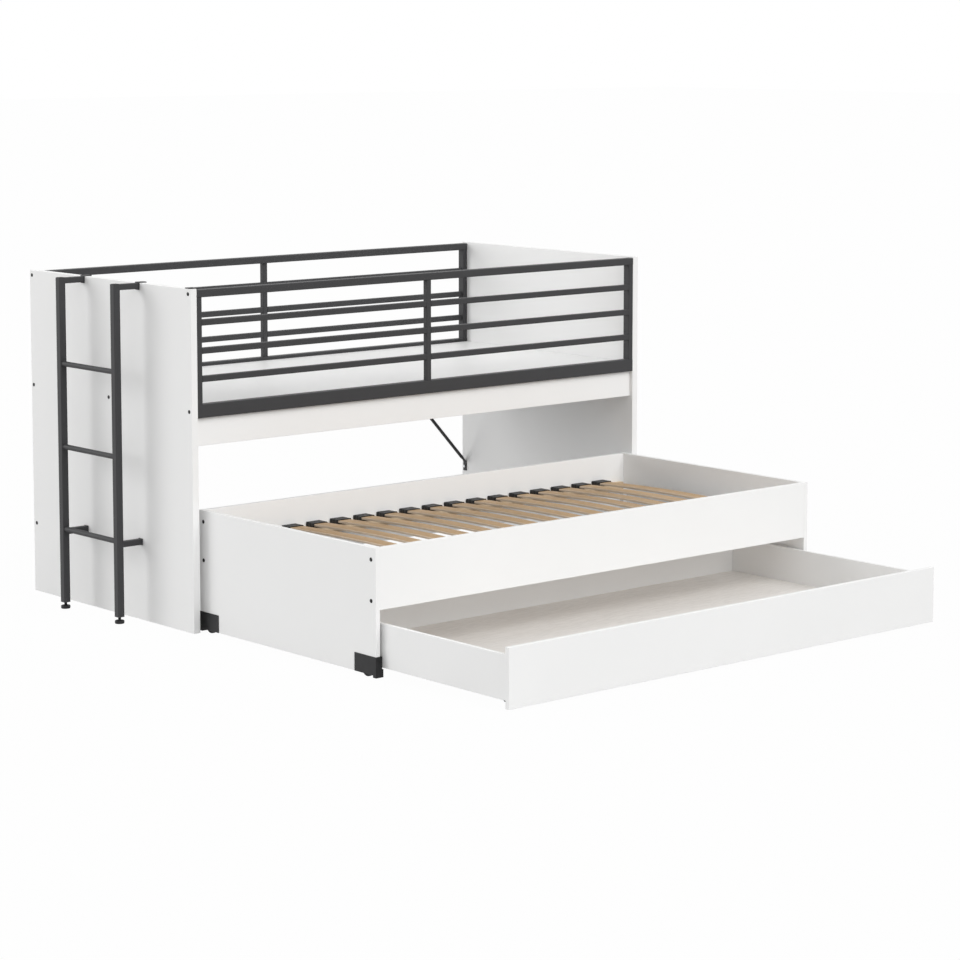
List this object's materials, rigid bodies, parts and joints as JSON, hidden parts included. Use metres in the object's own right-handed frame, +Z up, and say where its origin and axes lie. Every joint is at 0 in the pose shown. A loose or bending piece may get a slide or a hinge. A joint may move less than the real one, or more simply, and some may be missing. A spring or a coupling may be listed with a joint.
{
  "type": "mid sleeper bed",
  "caption": "Low loft bed with metal guard rails and an end ladder, a roll-out trundle bed with sprung slats, and a storage drawer under the trundle.",
  "frame": {"origin": "on the floor, in the middle of the whole footprint with the trundle and drawer pulled out as pictured", "axes": "+X along the bed from the ladder end, +Y from the open drawer to the back of the bed, +Z up"},
  "size_m": [2.1175, 2.456, 1.138],
  "materials": {
    "white_board": "satin white melamine on board",
    "drawer_board": "warm grey-beige melamine",
    "slat_wood": "smooth bonded birch",
    "rail_wood": "planed softwood",
    "charcoal_steel": "fine charcoal powder coat",
    "black_plastic": "moulded matt black",
    "wheel_plastic": "moulded satin black",
    "zinc_steel": "bright zinc"
  },
  "bodies": {
    "bed": {"back_bed_rail": "charcoal_steel", "back_guard_posts": "charcoal_steel", "back_guard_rails": "charcoal_steel", "back_top_rail": "charcoal_steel", "bed_screw_caps": "black_plastic", "brace_bolts": "zinc_steel", "centre_bars": "charcoal_steel", "deck_board_1": "white_board", "deck_board_2": "white_board", "deck_board_3": "white_board", "deck_board_4": "white_board", "deck_board_5": "white_board", "deck_cross_bars": "charcoal_steel", "deck_ledges": "charcoal_steel", "front_bed_rail": "charcoal_steel", "front_guard_posts": "charcoal_steel", "front_guard_rails": "charcoal_steel", "front_side_board": "white_board", "front_top_rail": "charcoal_steel", "ladder_arms": "charcoal_steel", "ladder_bottom_rung": "charcoal_steel", "ladder_brackets": "charcoal_steel", "ladder_front_upright": "charcoal_steel", "ladder_middle_rung": "charcoal_steel", "ladder_rear_upright": "charcoal_steel", "ladder_top_rung": "charcoal_steel", "left_brace": "charcoal_steel", "left_end_panel": "white_board", "right_brace": "charcoal_steel", "right_end_panel": "white_board"},
    "trundle": {"slat_holders": "black_plastic", "slat_rails": "rail_wood", "slats": "slat_wood", "trundle_axles": "zinc_steel", "trundle_back_left_housing": "black_plastic", "trundle_back_panel": "white_board", "trundle_back_right_housing": "black_plastic", "trundle_corner_cleats": "white_board", "trundle_front_left_housing": "black_plastic", "trundle_front_panel": "white_board", "trundle_front_right_housing": "black_plastic", "trundle_left_panel": "white_board", "trundle_right_panel": "white_board", "trundle_screw_caps": "black_plastic"},
    "drawer": {"castor_brackets": "zinc_steel", "drawer_back": "drawer_board", "drawer_base": "drawer_board", "drawer_front": "white_board", "drawer_left_side": "drawer_board", "drawer_right_side": "drawer_board"},
    "trundle_front_left_wheel": {"trundle_front_left_wheel": "wheel_plastic"},
    "trundle_front_right_wheel": {"trundle_front_right_wheel": "wheel_plastic"},
    "trundle_back_left_wheel": {"trundle_back_left_wheel": "wheel_plastic"},
    "trundle_back_right_wheel": {"trundle_back_right_wheel": "wheel_plastic"},
    "drawer_front_left_wheel": {"drawer_front_left_wheel": "wheel_plastic"},
    "drawer_front_right_wheel": {"drawer_front_right_wheel": "wheel_plastic"},
    "drawer_back_left_wheel": {"drawer_back_left_wheel": "wheel_plastic"},
    "drawer_back_right_wheel": {"drawer_back_right_wheel": "wheel_plastic"},
    "ladder_front_foot": {"ladder_front_foot": "black_plastic"},
    "ladder_rear_foot": {"ladder_rear_foot": "black_plastic"}
  },
  "joints": [
    {"name": "trundle_slide", "type": "slide", "parent": "bed", "child": "trundle", "axis": [0, 1, 0], "range_m": [-0.025, 0.897]},
    {"name": "drawer_slide", "type": "slide", "parent": "trundle", "child": "drawer", "axis": [0, 1, 0], "range_m": [-0.15, 0.57]},
    {"name": "trundle_front_left_wheel_spin", "type": "hinge", "parent": "trundle", "child": "trundle_front_left_wheel", "pos_m": [-0.89875, -0.5885, 0.025], "axis": [1, 0, 0], "continuous": true},
    {"name": "trundle_front_right_wheel_spin", "type": "hinge", "parent": "trundle", "child": "trundle_front_right_wheel", "pos_m": [1.00325, -0.5885, 0.025], "axis": [1, 0, 0], "continuous": true},
    {"name": "trundle_back_left_wheel_spin", "type": "hinge", "parent": "trundle", "child": "trundle_back_left_wheel", "pos_m": [-0.89875, 0.2325, 0.025], "axis": [1, 0, 0], "continuous": true},
    {"name": "trundle_back_right_wheel_spin", "type": "hinge", "parent": "trundle", "child": "trundle_back_right_wheel", "pos_m": [1.00325, 0.2325, 0.025], "axis": [1, 0, 0], "continuous": true},
    {"name": "drawer_front_left_wheel_spin", "type": "hinge", "parent": "drawer", "child": "drawer_front_left_wheel", "pos_m": [-0.80275, -1.122, 0.017], "axis": [1, 0, 0], "continuous": true},
    {"name": "drawer_front_right_wheel_spin", "type": "hinge", "parent": "drawer", "child": "drawer_front_right_wheel", "pos_m": [0.90725, -1.122, 0.017], "axis": [1, 0, 0], "continuous": true},
    {"name": "drawer_back_left_wheel_spin", "type": "hinge", "parent": "drawer", "child": "drawer_back_left_wheel", "pos_m": [-0.80275, -0.395, 0.017], "axis": [1, 0, 0], "continuous": true},
    {"name": "drawer_back_right_wheel_spin", "type": "hinge", "parent": "drawer", "child": "drawer_back_right_wheel", "pos_m": [0.90725, -0.395, 0.017], "axis": [1, 0, 0], "continuous": true},
    {"name": "ladder_front_foot_screw", "type": "slide", "parent": "bed", "child": "ladder_front_foot", "axis": [0, 0, 1], "range_m": [-0.006, 0.008]},
    {"name": "ladder_rear_foot_screw", "type": "slide", "parent": "bed", "child": "ladder_rear_foot", "axis": [0, 0, 1], "range_m": [-0.006, 0.008]}
  ]
}
